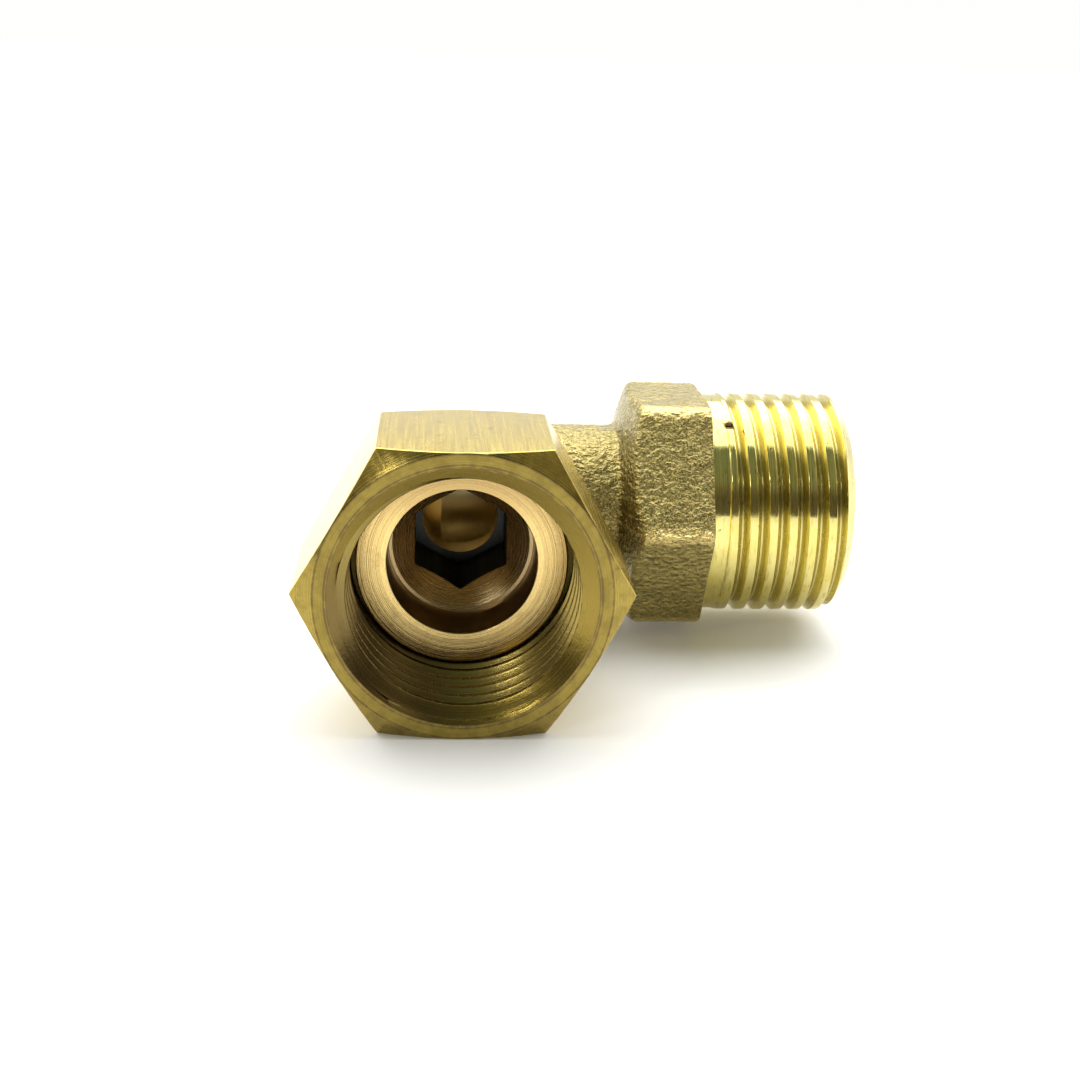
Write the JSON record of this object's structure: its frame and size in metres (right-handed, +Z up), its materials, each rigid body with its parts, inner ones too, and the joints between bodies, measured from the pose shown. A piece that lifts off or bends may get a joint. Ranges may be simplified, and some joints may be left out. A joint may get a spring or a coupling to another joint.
{
  "type": "swivel union elbow fitting",
  "caption": "Right-angle brass pipe elbow: a flat-faced tail with a free-turning hexagonal union nut on one port, a hexagonal collar and male pipe thread on the other.",
  "frame": {"origin": "where the axes of the two ports cross, in the elbow's corner", "axes": "+X along the male port's axis, out of it; -Y along the swivel port's axis, out of it; +Z up, square to both"},
  "size_m": [0.0501, 0.0407, 0.024],
  "materials": {
    "forged_brass": "rough as forged, with the male thread cut bright",
    "turned_brass": "bright drawn bar, turned",
    "faced_brass": "turned, slightly tarnished",
    "seal_rubber": "matt"
  },
  "bodies": {
    "elbow": {"elbow_body": "forged_brass", "tail_sleeve": "faced_brass", "tail_seal": "seal_rubber"},
    "nut": {"swivel_nut": "turned_brass"}
  },
  "joints": [
    {"name": "nut_swivel", "type": "hinge", "parent": "elbow", "child": "nut", "pos_m": [0, -0.0215, 0], "axis": [0, -1, 0], "continuous": true}
  ]
}
